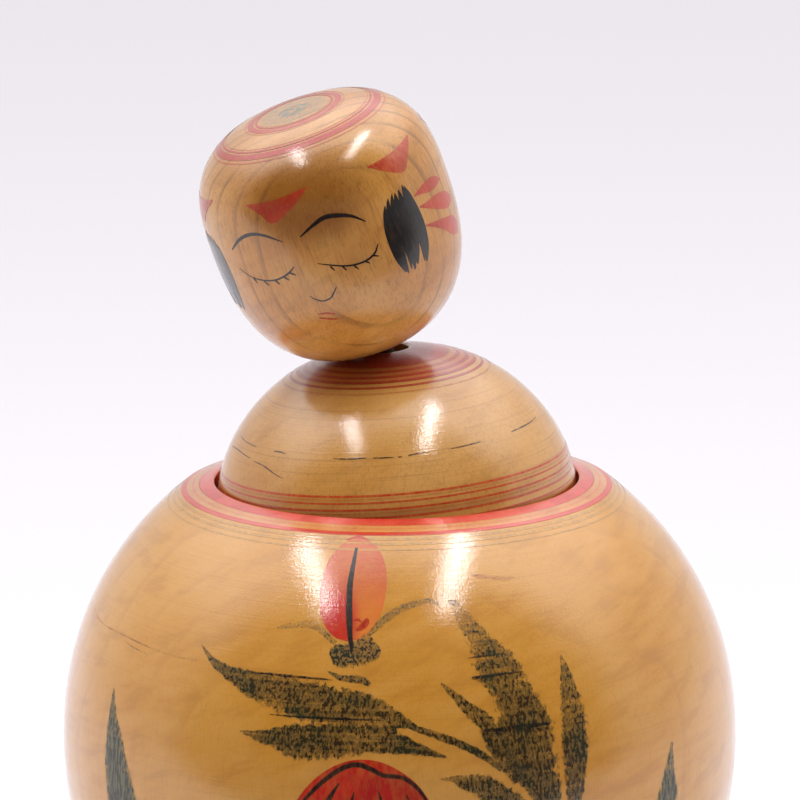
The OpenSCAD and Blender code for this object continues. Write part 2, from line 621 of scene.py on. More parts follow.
# part: {name: (colour, second colour, cover, grain, fineness, worn edge, streaks, lean of the grain)}
PAINTS = {
    "head": {
        "face_ink": (BROWN_BLACK, BLACK, 1.0, 0.06, 3.0, 0.1),
        "hair_black": (BLACK, (36, 31, 30), 1.0, 0.05, 2.0, 0.0, 0.0, 0.12),
        "head_red": (RED, RED_LIGHT, 0.82, 0.26, 3.0, 0.14, 0.0, 0.1),
        "mouth_red": ((196, 46, 22), RED, 0.8, 0.42, 3.6, 0.1),
        "petal_red": ((178, 18, 6), (200, 42, 20), 0.85, 0.12, 2.2, 0.12),
        "crown_red": ((170, 26, 18), RED, 0.9, 0.1, 1.6, 0.1),
        "crown_fine": (RED, RED_LIGHT, 0.62, 0.16, 1.6, 0.3),
        "crown_grey": ((92, 96, 82), (116, 112, 90), 0.38, 0.3, 1.3, 0.3),
        "crown_blue": ((40, 80, 84), (70, 98, 88), 0.62, 0.45, 0.9, 0.4),
    },
    "lid": {
        "lid_red": ((170, 22, 12), RED, 0.92, 0.1, 1.4, 0.05, 0.1),
        "lid_wash": (RED, RED_LIGHT, 0.5, 0.12, 1.4, 0.0, 0.16),
        "lid_fine": ((204, 62, 24), (190, 50, 22), 0.84, 0.2, 1.2, 0.3),
        "lid_faint": ((198, 84, 34), (178, 84, 40), 0.5, 0.3, 1.0, 0.3),
        "lid_edge_red": ((186, 46, 30), (200, 74, 40), 0.86, 0.12, 1.2, 0.0, 0.1),
        "hairline": ((34, 17, 12), (70, 36, 20), 0.92, 0.45, 0.9, 0.2, 0.0, 1.0),
    },
    "bowl": {
        "rim_red": ((202, 32, 22), (218, 60, 40), 0.92, 0.1, 1.2, 0.0, 0.16),
        "rim_fine": ((200, 30, 18), (204, 52, 34), 0.94, 0.08, 1.2, 0.06),
        "rim_faint": ((206, 86, 48), RED_LIGHT, 0.62, 0.16, 1.2, 0.2),
        "rim_wash": ((206, 96, 66), RED_LIGHT, 0.3, 0.12, 1.2, 0.1, 0.1),
        "shoulder_wash": ((120, 108, 70), (142, 120, 76), 0.28, 0.36, 1.3, 0.3, 0.0, 2.0),
        "bud_deep": ((196, 34, 18), (176, 28, 16), 0.92, 0.12, 1.4, 0.2),
        "bowl_ink": (BLACK, (40, 30, 28), 1.0, 0.08, 2.0, 0.06),
        "peony_red": ((172, 14, 4), (198, 34, 10), 0.95, 0.12, 0.8, 0.05),
        "peony_ink": ((58, 14, 14), (34, 12, 12), 0.97, 0.08, 1.6, 0.1),
    },
}

# name: (wash, fleck, full, thin, wash cover, fade, run, band, tip, tinge)
DRY_PAINTS = {
    "leaf_dry": (OLIVE_WASH, OLIVE_FLECK, 0.495, 0.42, 0.72, 0.3, 1.05, 0.3, 0.25),
    "leaf_spray": (OLIVE_WASH, OLIVE_FLECK, 0.52, 0.38, 0.72, 0.3, 0.85, 0.26, 0.66),
    "leaf_faint": ((150, 120, 60), (104, 84, 38), 0.44, 0.4, 0.48, 0.24, 1.2, 0.3, 0.2, 0.0),
    "sepal_dry": ((122, 102, 58), (58, 48, 32), 0.5, 0.45, 0.5, 0.26, 1.5, 0.2, 0.1),
    "leaf_teal": (TEAL_WASH, TEAL_FLECK, 0.55, 0.44, 0.78, 0.2, 0.4, 0.16, 0.5),
    "groove_ink": (OLIVE_FLECK, (34, 24, 16), 0.54, 0.46, 0.5, 0.34, 1.0, 0.1, 0.15),
    "bowl_hairline": ((182, 126, 66), (160, 104, 54), 0.44, 0.4, 0.2, 0.1, 1.5, 0.1, 0.2, 0.0),
    "smear_dry": ((196, 128, 92), (170, 96, 70), 0.42, 0.4, 0.34, 0.26, 1.2, 0.3, 0.3, 0.0),
}


# ---- wood

WOODS = {
    "bowl": dict(
        deep=(208, 144, 49), pale=(216, 157, 73), line=(168, 106, 40),
        pith=(-30.0, 190.0), spacing=9.0, rings=0.18, waver=0.6, lathe=0.2, fibre=0.2, patch=34.0,
        figure=0.5, coat_rough=0.08,
    ),
    "lid": dict(
        deep=(207, 147, 68), pale=(218, 163, 90), line=(142, 86, 38),
        pith=(46.0, 120.0), spacing=6.0, rings=0.06, waver=0.5, lathe=0.46, fibre=0.3, patch=22.0,
        figure=0.3, coat_rough=0.09,
    ),
    "head": dict(
        deep=(203, 137, 57), pale=(219, 159, 79), line=(96, 55, 25),
        pith=(-10.0, 70.0), spacing=3.1, rings=0.46, waver=0.9, lathe=0.03, fibre=0.36, patch=15.0,
        figure=0.25, coat_rough=0.15,
        # painted shade of the forehead: its place (across, height), the distances where it fades out,
        # and its colour
        forehead_shade=(-2.0, 44.0, 9.0, 21.0, (150, 92, 28)), crown=(46.0, 52.0, (158, 108, 62)),
    ),
}


def wood_layers(g, part):
    """Colour, roughness and height of waxed old wood in the part's own frame, with painted shade on the
    head's forehead.
    """
    w = WOODS[part]
    blotch = g.noise(1 / w["patch"], 3.0, 0.55)
    cloud_step = 2.2 / w["patch"]
    cloud = g.noise(cloud_step, 4.0, 0.6, 37.0)
    colour = g.mix(g.span(blotch, 0.36, 0.64), w["deep"], w["pale"])
    colour = g.mix(g.span(cloud, 0.35, 0.7, 0.0, 0.35), colour, w["deep"])
    slanted = g.join(g.add(g.x, g.times(g.z, 0.8)), g.y, g.add(g.z, g.times(g.x, -0.4)))
    figure = g.noise((0.07, 0.07, 0.3), 3.0, 0.6, 53.0, at=slanted)
    colour = g.mix(g.span(figure, 0.46, 0.66, 0.0, w["figure"]), colour, w["pale"])
    colour = g.mix(g.span(figure, 0.5, 0.34, 0.0, w["figure"] * 0.5), colour, w["line"])
    # painted shade: a darker patch on the forehead, where it faces the dim front; the mask ignores
    # depth, so the back of the head darkens the same
    if "forehead_shade" in w:
        x, z, near, far, tone = w["forehead_shade"]
        forehead_shade = g.span(g.add(g.away_from(x, z, 1.5), g.times(cloud, 8.0)), near, far, 0.9, 0.0)
        colour = g.mix(forehead_shade, colour, tone)
    if "crown" in w:
        low, high, tone = w["crown"]
        colour = g.mix(g.span(g.z, low, high, 0.0, 0.34), colour, tone)

    # growth rings about a pith behind the part, wavering a little along the grain
    px, py = w["pith"]
    flat = g.join(g.minus(g.x, px), g.minus(g.y, py), g.times(g.z, 0.16))
    from_pith = g.vector("LENGTH", flat, output=1)
    waver = g.noise((0.035, 0.035, 0.02), 1.0, 0.5)
    turns = g.add(g.math("DIVIDE", from_pith, w["spacing"]), g.times(waver, w["waver"] * 3))
    late = g.math("FRACT", turns)
    edge = g.times(g.span(late, 0.7, 0.94), g.span(late, 1.0, 0.96))
    broken = g.span(g.noise((0.1, 0.1, 0.045), 2.0, 0.5, 19.0), 0.38, 0.62, 0.15, 1.0)
    colour = g.mix(g.times(g.times(edge, broken), w["rings"]), colour, w["line"])

    # fibres and short pores along the grain
    fibre = g.noise((2.2, 2.2, 0.1), 3.0, 0.65)
    pores = g.noise((4.2, 4.2, 0.6), 2.0, 0.6)
    patchy = g.span(cloud, 0.35, 0.6, 0.45, 1.0)
    dark = g.times(g.span(fibre, 0.47, 0.72, 0.0, w["fibre"]), patchy)
    colour = g.mix(dark, colour, w["line"])
    colour = g.mix(g.span(pores, 0.55, 0.72, 0.0, w["fibre"]), colour, w["line"])
    colour = g.mix(g.span(pores, 0.44, 0.28, 0.0, 0.16), colour, w["pale"])

    # lathe lines run round the axis
    radius = g.vector("LENGTH", g.join(g.x, g.y, 0.0), output=1)
    slow = g.times(g.add(g.x, g.times(g.y, 0.7)), 0.02)
    turned = g.join(g.times(g.z, 2.4), g.times(radius, 2.4), slow)
    lathe_lines = g.noise(1.0, 3.0, 0.7, at=turned)
    colour = g.mix(g.span(lathe_lines, 0.52, 0.74, 0.0, w["lathe"]), colour, w["line"])
    wax = g.noise(2.4, 2.0, 0.6, 71.0)
    height = g.add(g.times(lathe_lines, 0.55 + w["lathe"]), g.times(fibre, 0.45), g.times(wax, 0.7))
    rough = g.span(cloud, 0.3, 0.7, 0.36, 0.48)
    return colour, rough, height


def wood_material(part):
    g = Graph(part + "_wood", part)
    return g.finish(*wood_layers(g, part), coat_rough=WOODS[part]["coat_rough"])


def paint_material(name, part, pigment, second, cover, grain, fine, edge, streak=0.0, lean=0.35):
    """Thin pigment brushed on the part's wood: the wood shows where the brush ran dry."""
    g = Graph(name, part)
    colour, rough, height = wood_layers(g, part)
    speck = g.noise((fine, fine, fine * lean), 3.0, 0.7)
    cloud = g.noise(0.16, 2.0)
    lines = g.noise((0.02, 0.02, 1.1), 2.0, 0.7)
    away = g.math("POWER", g.math("ABSOLUTE", g.attribute("across")), 3.0)
    body = g.minus(cover, g.times(away, edge))
    rub = g.times(g.minus(speck, 0.5), grain * 6.0)
    band = g.times(g.minus(lines, 0.5), streak * 4.0)
    mask = g.math("ADD", g.add(body, rub), band, clamp=True)
    pigment_here = g.mix(g.span(g.add(cloud, g.times(rub, 0.25)), 0.35, 0.65), pigment, second)
    colour = g.mix(mask, colour, pigment_here)
    height = g.add(height, g.times(mask, 0.25))
    return g.finish(colour, rough, height, coat_rough=WOODS[part]["coat_rough"])


def dry_brush(name, wash, fleck, full, thin, wash_cover, fade, run, band, tip, tinge=0.8):
    """Dry brushwork on the bowl: a thin wash with dark flecks where the grain took the paint.

    Wood shows through it, so its clear places have no film. It is thinner at the tip."""
    g = Graph(name, "bowl")
    flecks = g.noise((2.1, 2.1, run), 2.0, 0.6)
    pores = g.noise((3.0, 3.0, run * 1.4), 2.0, 0.6, 23.0)
    grooves = g.noise((0.03, 0.03, 1.25), 2.0, 0.7)
    ragged = g.noise((1.1, 1.1, 0.8), 3.0, 0.65, 11.0)
    clouds = g.noise(0.16, 2.0, 0.5, 5.0)
    across = g.math("ABSOLUTE", g.attribute("across"))
    reach = g.add(across, g.times(ragged, 0.9), -0.45)
    end = g.span(g.attribute("along"), 0.0, tip, thin, full)
    dense = g.add(end, g.times(grooves, band), -0.5 * band, g.times(clouds, 0.24), -0.12)
    dense = g.minus(dense, g.span(reach, 0.62, 1.02, 0.0, fade))
    fleck_mask = g.span(g.minus(dense, flecks), -0.06, 0.06)
    body = g.add(dense, g.times(pores, 0.45), -0.225)
    wash_mask = g.span(body, 0.26, 0.54, 0.0, wash_cover)
    alpha = g.math("MAXIMUM", g.times(fleck_mask, 0.92), wash_mask)
    alpha = g.times(alpha, g.span(across, 1.0, 0.88))
    tinged = g.mix(g.span(clouds, 0.48, 0.62, 0.0, tinge), fleck, TEAL_FLECK)
    colour = g.mix(fleck_mask, wash, tinged)
    g.put(g.shader.inputs["Alpha"], alpha)
    rough = g.span(flecks, 0.3, 0.7, 0.55, 0.45)
    return g.finish(colour, rough, g.times(fleck_mask, 0.6), coat=0.8, coat_rough=0.2)


# ---- the turned wooden parts

woods = {part: wood_material(part) for part in WOODS}


def peg_material():
    """Unwaxed wood of the neck peg and its stop button, painted very dark as shade for the crevice
    under the head.
    """
    g = Graph("peg_wood_painted_shade", "head")
    fibre = g.noise((3.0, 3.0, 0.15), 3.0, 0.65)
    blotch = g.noise(0.14, 3.0)
    # painted shade: these near-black browns stand for the shaded crevice between head and lid where the
    # peg shows
    colour = g.mix(g.span(blotch, 0.3, 0.7), (58, 38, 26), (84, 56, 36))
    colour = g.mix(g.span(fibre, 0.4, 0.75, 0.0, 0.6), colour, (36, 22, 14))
    rough = g.span(fibre, 0.3, 0.7, 0.65, 0.8)
    return g.finish(colour, rough, fibre, coat=0.0, coat_rough=0.3)


dark = peg_material()
bowl = lathe("bowl_turned", bowl_outline(), PLACES["bowl"], woods["bowl"], "container")
lid = lathe("lid_turned", lid_outline(), PLACES["lid"], woods["lid"], "lid", ring=True)
head = lathe("head_turned", head_outline(), PLACES["head"], woods["head"], "head")
peg = lathe("neck_peg_turned", peg_outline(), PLACES["head"], dark, "neck", 64)
button = lathe("stop_button_turned", button_outline(), PLACES["head"], dark, "neck", 96, True)
for piece, node in ((bowl, "bowl"), (lid, "lid"), (head, "head"),
                    (peg, "neck_peg"), (button, "stop_button")):
    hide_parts(node)


paints = {name: paint_material(name, part, *row)
          for part, rows in PAINTS.items() for name, row in rows.items()}
paints.update({name: dry_brush(name, *row) for name, row in DRY_PAINTS.items()})


# ---- surfaces to paint on

BOWL = Skin("bowl", OUTSIDE)
RIM = Skin("bowl", rim_outline())
dome_line = [quarter(LID_R, DOME_H, DOME_SIDE, DOME_TOP, i / 120) for i in range(114)]
LID = Skin("lid", dome_line)
edge_line = [(EDGE_R, -EDGE_H + 0.7), (EDGE_R, -FLARE_H)] + dome_line[:12]
EDGE = Skin("lid", rounded(edge_line, {1: 0.8}))
head_line = [(r, z + CHIN_REACH) for r, z in head_curve()]
HEAD = Skin("head", head_line, CHIN_REACH)


# ---- head: face, hair, ornaments

# of each pair, the one on the viewer's right comes first
BROWS = [
    [(-12.6, 31.7, 0.12), (-6.2, 33, 0.3), (0.6, 33.9, 0.44), (7.1, 33.4, 0.42), (12.8, 32.3, 0.28),
     (17.8, 30.4, 0.1)],
    [(-52, 31, 0.14), (-44.3, 33.1, 0.32), (-37, 33.9, 0.34), (-29.7, 33.4, 0.26), (-21.6, 31.6, 0.08)],
]
EYES = [
    [(-9.2, 25.9, 0.06), (-4.4, 25, 0.13), (1.9, 23.9, 0.16), (7, 23.4, 0.18), (12.6, 23.4, 0.2),
     (17, 24.1, 0.2), (19.8, 25.5, 0.1)],
    [(-51.4, 27.2, 0.05), (-46.9, 25.8, 0.1), (-40.7, 24.8, 0.14), (-33.2, 24.4, 0.16),
     (-27.5, 24.8, 0.18), (-23.3, 25.5, 0.18), (-20.3, 26.4, 0.1)],
]
LASHES = [
    ((-4.2, 24.7), (-2.8, 23.6)), ((0.9, 24), (2.3, 22.9)), ((6, 23.4), (7.6, 22.3)),
    ((11.3, 23.4), (13.4, 22.6)), ((15.6, 23.8), (18.4, 23.2)),
    ((-44.2, 25.2), (-42.8, 24.1)), ((-38.4, 24.5), (-36.7, 23.4)), ((-32.1, 24.4), (-30.4, 23.4)),
    ((-27.1, 24.8), (-24.9, 24)), ((-23.4, 25.4), (-20.8, 24.7)),
]
NOSE = [(-18.3, 20, 0.08), (-16.3, 19.1, 0.13), (-13.1, 18.4, 0.15), (-9.2, 18.6, 0.16),
        (-7, 19.4, 0.15), (-4.8, 20.4, 0.09)]
MOUTH_LINES = [[(-18.3, 15.9, 0.16), (-14, 15.7, 0.22), (-10.2, 15.1, 0.18)],
               [(-18.5, 15.1, 0.16), (-14.6, 14.5, 0.2), (-10.1, 13.9, 0.14)]]


def lash(start, end):
    mid = ((start[0] + end[0]) / 2, (start[1] + end[1]) / 2)
    return stroke(HEAD, [start + (0.16,), mid + (0.15,), end + (0.08,)], 8, 2)


film("brows", HEAD, [stroke(HEAD, b, 36, 4) for b in BROWS], "face_ink")
film("eyes", HEAD, [stroke(HEAD, e, 36, 3) for e in EYES] + [lash(*ends) for ends in LASHES],
     "face_ink")
film("nose", HEAD, [stroke(HEAD, NOSE, 28, 3)], "face_ink")
film("mouth", HEAD, [stroke(HEAD, m, 14, 3) for m in MOUTH_LINES], "mouth_red")

# side locks: seven brush marks side by side, laid as three bunches at their lower end
LOCK_MARKS = [
    [(28.9, 31.5, 0.06), (27.6, 29.6, 0.55), (26.7, 26, 0.9), (27.2, 21.4, 0.8), (28.9, 17.9, 0.14)],
    [(31.7, 32.5, 0.06), (30.2, 30.4, 0.55), (29.2, 25.8, 0.9), (29.2, 21.2, 0.75), (30.1, 17.5, 0.12)],
    [(34.4, 32.9, 0.06), (33, 30.8, 0.55), (32.4, 25.9, 0.9), (32.8, 21.4, 0.62), (32.3, 18, 0.12)],
    [(36.1, 32.8, 0.06), (35.4, 30.8, 0.6), (35.2, 25.8, 0.95), (34.9, 21, 0.85), (34.1, 17.5, 0.14)],
    [(38.4, 33, 0.06), (38.3, 30.8, 0.6), (38.5, 25.5, 0.95), (37.4, 21.2, 0.85), (36.3, 18.2, 0.14)],
    [(41.2, 33.4, 0.06), (41.2, 31, 0.62), (41.4, 25.7, 0.95), (41.6, 21.4, 0.6), (40.6, 18, 0.1)],
    [(42.3, 33, 0.06), (43.2, 30.4, 0.6), (44.3, 25.6, 0.9), (43.5, 21, 0.85), (42, 17.7, 0.14)],
]
FACE_MIDDLE = -18.0


def mirrored(knots):
    """The same knots on the other side of the face."""
    return [(2 * FACE_MIDDLE - k[0],) + tuple(k[1:]) for k in knots]


film("lock_right", HEAD, [stroke(HEAD, m, 30, 3) for m in LOCK_MARKS], "hair_black")
film("lock_left", HEAD, [stroke(HEAD, mirrored(m), 30, 3) for m in LOCK_MARKS], "hair_black")

# three petals of the hair ribbon behind each lock
PETALS = [
    [(45.7, 30.2, 0.1), (51, 30.3, 0.62), (58, 30.1, 1.2), (64.5, 29.9, 0.95), (69.9, 29.4, 0.12)],
    [(46.8, 27.8, 0.12), (53, 27.1, 0.75), (60, 26.4, 1.4), (69, 25.3, 1.65), (75.4, 24.5, 0.6)],
    [(46.9, 24, 0.12), (54, 22.9, 0.62), (61, 21.7, 1.15), (69.5, 20, 1.85), (76, 18.5, 1.1)],
]
film("petals_right", HEAD, [stroke(HEAD, p, 26, 6) for p in PETALS], "petal_red")
film("petals_left", HEAD, [stroke(HEAD, mirrored(p), 26, 6) for p in PETALS], "petal_red")

# forelock marks: red triangles with a hanging point, six round the head, as (middle, lean)
FORELOCKS = [(-19.6, -3.4), (45.2, 0.6), (106, -1), (166, 1.4), (-134, -2), (-78.5, 3)]


def forelock(middle, lean):
    low = [(middle - 16.0, 39.1), (middle - 9.0, 37.1), (middle + lean, 35.3),
           (middle + 8.5, 37.5), (middle + 16.2, 39.7)]
    high = [(middle - 16.2, 39.35), (middle - 8.0, 39.3), (middle, 39.4),
            (middle + 8.0, 39.7), (middle + 16.6, 40.1)]
    return field(HEAD, low, high, 40, 10)


film("forelocks", HEAD, [forelock(*f) for f in FORELOCKS], "head_red")

# crown rings
film("crown_bands", HEAD, bands(HEAD, "radius", [(9.3, 8.05), (7.75, 7.25), (16.35, 15.1),
                                                 (14.8, 14.4)]), "crown_red", 2)
film("crown_lines", HEAD, bands(HEAD, "radius", [(9.9, 9.65), (14.1, 13.9), (17.05, 16.75)]),
     "crown_fine")
film("crown_wash", HEAD, bands(HEAD, "radius", [(7, 2.4)]), "crown_grey")
film("crown_dot", HEAD, bands(HEAD, "radius", [(3.6, 0.3)]), "crown_blue")


# ---- lid: rings and hairlines

film("lid_top_wash", LID, bands(LID, "radius", [(17, 11.8)], 10), "lid_wash")
film("lid_top_rings", LID, bands(LID, "radius", [(18.6, 18.1), (17.3, 16.6), (15.95, 15.15),
                                                 (14.25, 13.45), (12.3, 5.1)], 10), "lid_red", 2)
film("lid_foot_rings", LID, bands(LID, "height", [(3.75, 4.2), (2.55, 2.9), (1.3, 1.7)]), "lid_fine")
film("lid_edge_rings", EDGE, bands(EDGE, "height", [(-0.25, 0.2), (-1.5, -1.2)], 4, TURN_STEPS),
     "lid_fine")
film("lid_edge", EDGE, bands(EDGE, "height", [(-EDGE_H + 0.75, -2.3)], 4, TURN_STEPS), "lid_edge_red")
film("lid_faint_rings", LID, bands(LID, "height", [(3.3, 3.5), (0.75, 0.95)])
     + bands(LID, "radius", [(19.95, 19.6)], 10), "lid_faint")

HAIRLINES = [
    [(-21, 10.5, 0.05), (-16, 10.42, 0.15), (-8.9, 10.5, 0.11)],
    [(-6.3, 10.42, 0.08), (-3, 10.38, 0.14), (1, 10.35, 0.06)],
    [(2.6, 10.32, 0.12), (3.9, 10.32, 0.1)],
    [(6.2, 10.42, 0.12), (9.2, 10.56, 0.1), (13.8, 10.65, 0.05)],
    [(21.9, 10.6, 0.05), (28, 10.72, 0.12), (34.5, 10.85, 0.07)],
    [(50.1, 11.05, 0.06), (55.7, 11.15, 0.15), (62.5, 11.25, 0.1), (70.7, 11.5, 0.05)],
    [(-47.9, 10.95, 0.05), (-44.4, 11, 0.12), (-41.1, 10.8, 0.05)],
    [(-81.7, 9.2, 0.08), (-72, 9.45, 0.1), (-59.9, 9, 0.06)],
    [(-56.8, 8.7, 0.05), (-50.3, 8.3, 0.12), (-44.3, 7.35, 0.09), (-39.8, 6.7, 0.04)],
    [(-77, 11.45, 0.04), (-67.3, 11.2, 0.08), (-59, 11, 0.04)],
]
film("lid_hairlines", LID, [stroke(LID, h, 24, 2) for h in HAIRLINES], "hairline")


# ---- bowl: rim rings

seat_low = RIM.length_at(height=RIM_Z - SEAT_DEPTH + 0.5)
film("rim_band", RIM, [ring(RIM.length_at(radius=37.9), seat_low, 28, TURN_STEPS)], "rim_red")
for name, outer, inner, paint, step in (
        ("rim_wash", 40.3, 37.8, "rim_wash", 0), ("rim_line", 41.35, 40.2, "rim_fine", 2),
        ("rim_faint_line", 39.2, 38.8, "rim_faint", 2)):
    film(name, RIM, bands(RIM, "radius", [(outer, inner)], 8, TURN_STEPS), paint, step)
film("rim_shadow_lines", BOWL, bands(BOWL, "height", [(100.7, 101.1), (100, 100.4), (99.2, 99.45)],
                                    steps=TURN_STEPS), "shoulder_wash")


# ---- bowl: bud

def marks(name, rows, paint, step=0):
    """Brush marks on the bowl as one film, each given as (knots, steps, width)."""
    film(name, BOWL, [stroke(BOWL, *row) for row in rows], paint, step)


BUD_MIDDLE = -9.4
BUD_HALF = 6.1
BUD_TOP = 101.0
BUD_HEIGHT = 15.8


def bud_shape():
    """The bud: an egg with its blunt end up."""
    rows = []
    steps, width = 36, 14
    for i in range(steps + 1):
        t = i / steps
        length = BOWL.length_at(height=BUD_TOP - BUD_HEIGHT * t)
        half = BUD_HALF * math.sqrt(max(1 - abs(2 * t - 1) ** 2.2, 0.0005))
        r = BOWL.outline_at(length)[0]
        rows.append([(BUD_MIDDLE + math.degrees(half * (2 * k / width - 1) / r), length)
                     for k in range(width + 1)])
    return rows


def bud_material():
    """Pink above, orange at the lower right and deep red at the lower left."""
    g = Graph("bud_red", "bowl")
    colour, rough, height = wood_layers(g, "bowl")
    speck = g.noise((0.7, 0.7, 1.6), 3.0, 0.7)
    rub = g.times(g.minus(speck, 0.5), 1.3)
    low = g.span(g.z, 97.5, 88.5)
    right = g.span(g.x, -10.5, -5.5)
    pigment = g.mix(g.times(low, right), (206, 70, 54), (226, 112, 44))
    deep = g.span(g.add(g.away_from(-10.4, 88.6, 0.62), g.times(rub, 1.6)), 4.4, 1.5)
    top = g.span(g.z, 99.2, 101.0, 0.0, 0.5)
    pigment = g.mix(g.math("MAXIMUM", deep, top), pigment, (196, 34, 18))
    away = g.math("POWER", g.math("ABSOLUTE", g.attribute("across")), 5.0)
    cover = g.add(0.62, g.times(deep, 0.34), g.times(away, 0.16), g.times(rub, 0.5))
    mask = g.math("MINIMUM", cover, 0.97)
    return g.finish(g.mix(mask, colour, pigment), rough, g.add(height, g.times(mask, 0.25)))


paints["bud_red"] = bud_material()
film("bud", BOWL, [bud_shape()], "bud_red", 1)
marks("bud_marks", [
    ([(-8, 87, 0.3), (-7, 87.5, 0.62), (-6.2, 88.3, 0.66), (-5.9, 88.9, 0.25)], 24, 4),
    ([(-8.6, 88.5, 0.12), (-7.8, 88.7, 0.3), (-7.1, 88.3, 0.1)], 12, 3),
    ([(-12.6, 100.7, 0.1), (-9.8, 101.15, 0.35), (-7.2, 100.8, 0.1)], 14, 3),
], "bud_deep", 2)
marks("bud_line", [
    ([(-9.8, 99.6, 0.26), (-10, 96.8, 0.42), (-10.1, 94, 0.54), (-9.8, 91, 0.6), (-9.4, 88.4, 0.58),
      (-9.1, 86.4, 0.48), (-8.7, 84.6, 0.36), (-8.5, 83.2, 0.14)], 40, 4),
], "bowl_ink", 6)


# ---- bowl: leaves

# sepals and tendrils under the bud
film("bud_sepals", BOWL, [
    field(BOWL,
          [(-12.6, 82.9), (-11.3, 80.7), (-8.9, 80.6), (-6.2, 80.9), (-3.7, 82.3), (-3.2, 83.7)],
          [(-12.6, 84.3), (-11, 85), (-8.7, 85.6), (-5.8, 86.9), (-3.9, 85), (-3.1, 83.9)], 36, 10),
    stroke(BOWL, [(-12.6, 80.2, 0.2), (-9.9, 79.2, 0.7), (-6.6, 79, 0.9), (-5, 78.2, 0.5)], 20, 6),
], "sepal_dry", 4)
marks("tendrils", [
    ([(-23.6, 86.6, 0.25), (-20.3, 87.3, 0.8), (-17.2, 87.7, 0.9), (-14.6, 86.8, 0.8),
      (-11.7, 84.8, 0.6)], 30, 6),
    ([(-5.6, 86.2, 0.5), (-3.6, 88, 0.9), (-0.6, 89.9, 1), (2.4, 90.9, 0.9), (5.8, 91.6, 0.7),
      (8.2, 91, 0.3)], 34, 6),
], "leaf_faint", 1)


def leaf(name, low, high, paint, steps, width, step=0):
    """A leaf on the bowl between its lower and its upper line."""
    film(name, BOWL, [field(BOWL, low, high, steps, width)], paint, step)


# left spray: an upper and a lower leaf
leaf("leaf_left_upper",
     [(-38.8, 82.3), (-35.4, 79.2), (-31.6, 77), (-26.4, 74.1), (-21.8, 72.6), (-16.7, 71), (-9.3, 70),
      (-2.4, 70.2), (2.6, 70.9)],
     [(-38.8, 82.5), (-34.6, 80.6), (-30.1, 79.8), (-22.5, 79.6), (-15, 79.3), (-10.2, 78), (-5, 77.2),
      (-0.6, 74.6), (3, 71.3)], "leaf_dry", 60, 16)
leaf("leaf_left_lower",
     [(-27.4, 68.7), (-25.3, 67.6), (-22.2, 66.3), (-17.5, 64.1), (-10.5, 64.9), (-3.8, 65.9),
      (1.6, 65.9), (7.6, 65.2)],
     [(-27.4, 68.9), (-23, 69.7), (-19, 71), (-16.8, 71.9), (-9.4, 72.3), (-2.4, 71.6), (1.9, 69.2),
      (7.6, 65.8)], "leaf_dry", 60, 14, 1)

# right spray
leaf("leaf_right",
     [(9.6, 91.6), (10.8, 88), (11.6, 86), (12.2, 84), (12.4, 81.9), (12.9, 79.1), (14.4, 77),
      (15.2, 75), (15.8, 72.6), (14.8, 69.8), (15.4, 66.8), (17, 63), (19.2, 59.4), (21.2, 56.4),
      (22.6, 53)],
     [(12.4, 91.4), (15.8, 88), (17.6, 85.9), (20.2, 83.7), (22, 82), (23.6, 79.4), (24.6, 76),
      (25.7, 73.4), (27, 70), (27.1, 67.1), (27.2, 63.5), (27.4, 59.8), (27.6, 55.5), (27.8, 53.5),
      (28, 51.6)], "leaf_spray", 70, 18)
leaf("leaf_right_small",
     [(7.2, 77.9), (8.8, 75.6), (10.3, 73.2), (11.5, 71.6), (13, 69.6), (13.6, 67.4), (15.8, 63),
      (18.4, 59.6)],
     [(7.4, 78.5), (9.6, 77.1), (12, 75.2), (14.2, 73.7), (16.2, 71.9), (18.2, 68.6), (19.6, 64.4),
      (20.8, 60.6)], "leaf_dry", 48, 12, 1)
leaf("leaf_right_blade",
     [(30.1, 80.8), (29.1, 77.9), (28.1, 73.9), (27.5, 69.3), (27, 65.9), (26.9, 62.2), (27.3, 58.5),
      (27.6, 54.5), (28.2, 51)],
     [(30.5, 80.8), (31.8, 78), (32.7, 75), (33.3, 72.1), (33.4, 69.2), (33.1, 64.9), (32.3, 61.4),
      (31.5, 57.3), (30.2, 53.2)], "leaf_spray", 60, 12, 2)
leaf("leaf_right_low",
     [(6.4, 61.5), (8.7, 60.6), (10, 59), (11.8, 57.9), (13.4, 55.8), (16.6, 52.6), (20.6, 50.2)],
     [(6.4, 61.8), (8.8, 62.3), (11, 62.5), (14.5, 62.2), (16.9, 60.6), (19.4, 58.4), (22.6, 54.6)],
     "leaf_dry", 48, 12, 3)
marks("leaf_stems", [
    ([(0.8, 71.2, 0.3), (3.6, 70.4, 0.7), (7.1, 69, 0.9), (10.4, 67.4, 0.85), (13.6, 65.4, 0.85),
      (16.6, 62.6, 0.6)], 36, 5),
    ([(1.6, 67, 0.4), (4.3, 66.4, 0.55), (7.2, 65.6, 0.2)], 20, 4),
], "leaf_dry", 5)

# grooves of the turned surface that took more paint
marks("leaf_grooves", [
    ([(-27.3, 79.05, 0.15), (-21.2, 79.05, 0.32), (-15, 78.95, 0.26), (-11.6, 78.8, 0.1)], 30, 4),
    ([(-22.4, 72.3, 0.1), (-16.5, 72.3, 0.24), (-10, 72.3, 0.26), (-3, 72.2, 0.1)], 30, 4),
    ([(12.8, 78.75, 0.36), (17, 79, 0.36), (22.2, 79.05, 0.12)], 30, 4),
    ([(12.4, 82.1, 0.1), (15.5, 82.25, 0.26), (18.8, 82.3, 0.1)], 20, 4),
    ([(14, 69.7, 0.3), (18, 69.7, 0.52), (22, 69.7, 0.52), (25.8, 69.7, 0.22)], 30, 4),
], "groove_ink", 7)

